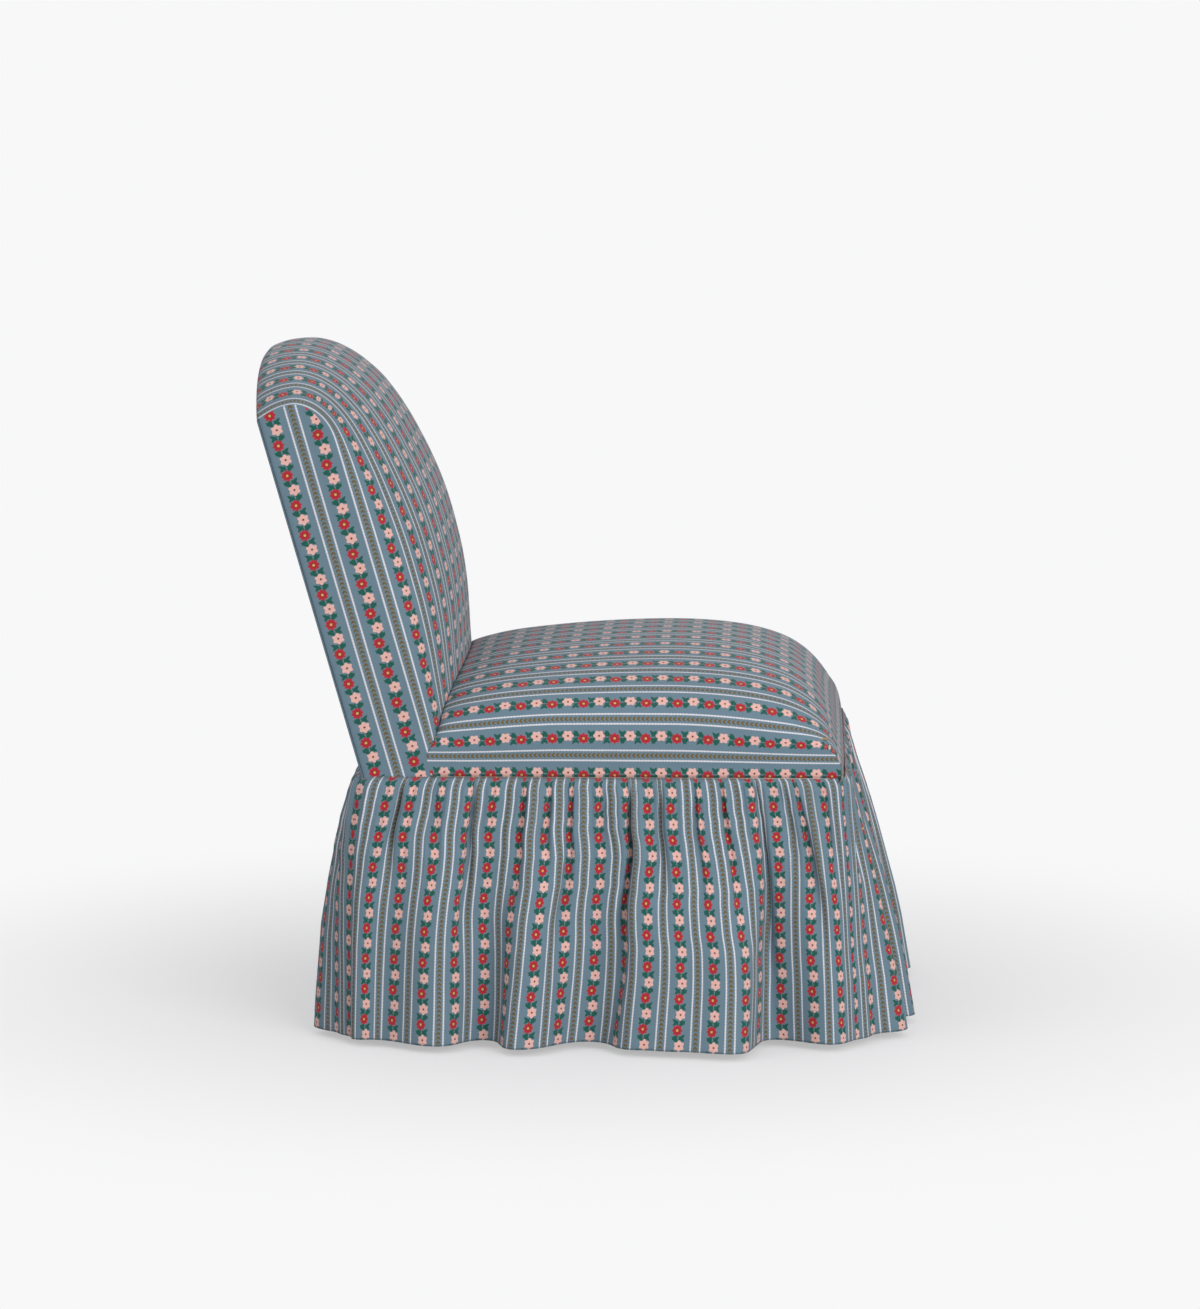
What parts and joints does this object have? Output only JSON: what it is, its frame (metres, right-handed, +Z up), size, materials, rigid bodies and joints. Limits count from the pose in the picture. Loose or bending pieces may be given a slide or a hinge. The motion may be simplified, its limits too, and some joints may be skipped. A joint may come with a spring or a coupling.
{
  "type": "slipper chair",
  "caption": "Armless slipper chair with a crowned tight seat, a leaning camel back and a gathered skirt to the floor, in striped floral cloth.",
  "frame": {"origin": "on the floor, in the middle of the chair's overall width and depth", "axes": "+Z up, -Y the way the chair faces, X side to side; the chair is symmetric about X = 0"},
  "size_m": [0.7862, 0.7844, 0.8013],
  "materials": {
    "cover_fabric": "matt printed cotton-linen plain weave, dusty blue with floral stripes",
    "lining_cotton": "plain unbleached cotton lining",
    "wadding": "bonded white polyester wadding",
    "cushion_foam": "open-cell cushion foam",
    "burlap": "open jute weave",
    "dust_cloth": "black spun-bonded cloth",
    "tack_card": "brown upholstery card",
    "spring_steel": "oil-tempered spring wire",
    "zinc_steel": "zinc-plated steel",
    "glide_nylon": "moulded nylon",
    "leg_wood": "stained beech, satin",
    "dowel_beech": "fluted beech dowel",
    "frame_wood": "sawn kiln-dried hardwood"
  },
  "bodies": {
    "root": {"back_batting": "wadding", "back_bottom_rail": "frame_wood", "back_burlap": "burlap", "back_dowels": "dowel_beech", "back_foam": "cushion_foam", "back_lower_rail": "frame_wood", "back_slat": "frame_wood", "back_tack_strips": "tack_card", "back_top_rail": "frame_wood", "back_webbing": "burlap", "barrel_nuts": "zinc_steel", "corner_block_front_left": "frame_wood", "corner_block_front_right": "frame_wood", "corner_block_rear_left": "frame_wood", "corner_block_rear_right": "frame_wood", "deck_burlap": "burlap", "dust_cover": "dust_cloth", "front_rail": "frame_wood", "inside_back_cover": "cover_fabric", "left_back_post": "frame_wood", "left_rail": "frame_wood", "leg_bolts": "zinc_steel", "leg_front_left": "leg_wood", "leg_front_right": "leg_wood", "leg_glide_front_left": "glide_nylon", "leg_glide_front_right": "glide_nylon", "leg_glide_rear_left": "glide_nylon", "leg_glide_rear_right": "glide_nylon", "leg_nuts": "zinc_steel", "leg_rear_left": "leg_wood", "leg_rear_right": "leg_wood", "outside_back_cover": "cover_fabric", "post_bolts": "zinc_steel", "rear_rail": "frame_wood", "right_back_post": "frame_wood", "right_rail": "frame_wood", "seat_batting": "wadding", "seat_cover": "cover_fabric", "seat_dowels": "dowel_beech", "seat_foam": "cushion_foam", "seat_spring_1": "spring_steel", "seat_spring_2": "spring_steel", "seat_spring_3": "spring_steel", "seat_spring_4": "spring_steel", "seat_spring_5": "spring_steel", "skirt_front": "cover_fabric", "skirt_left": "cover_fabric", "skirt_lining_front": "lining_cotton", "skirt_lining_left": "lining_cotton", "skirt_lining_rear": "lining_cotton", "skirt_lining_right": "lining_cotton", "skirt_rear": "cover_fabric", "skirt_right": "cover_fabric", "skirt_tack_strips": "tack_card", "spring_clips": "spring_steel", "spring_tie_wires": "spring_steel"}
  },
  "joints": []
}
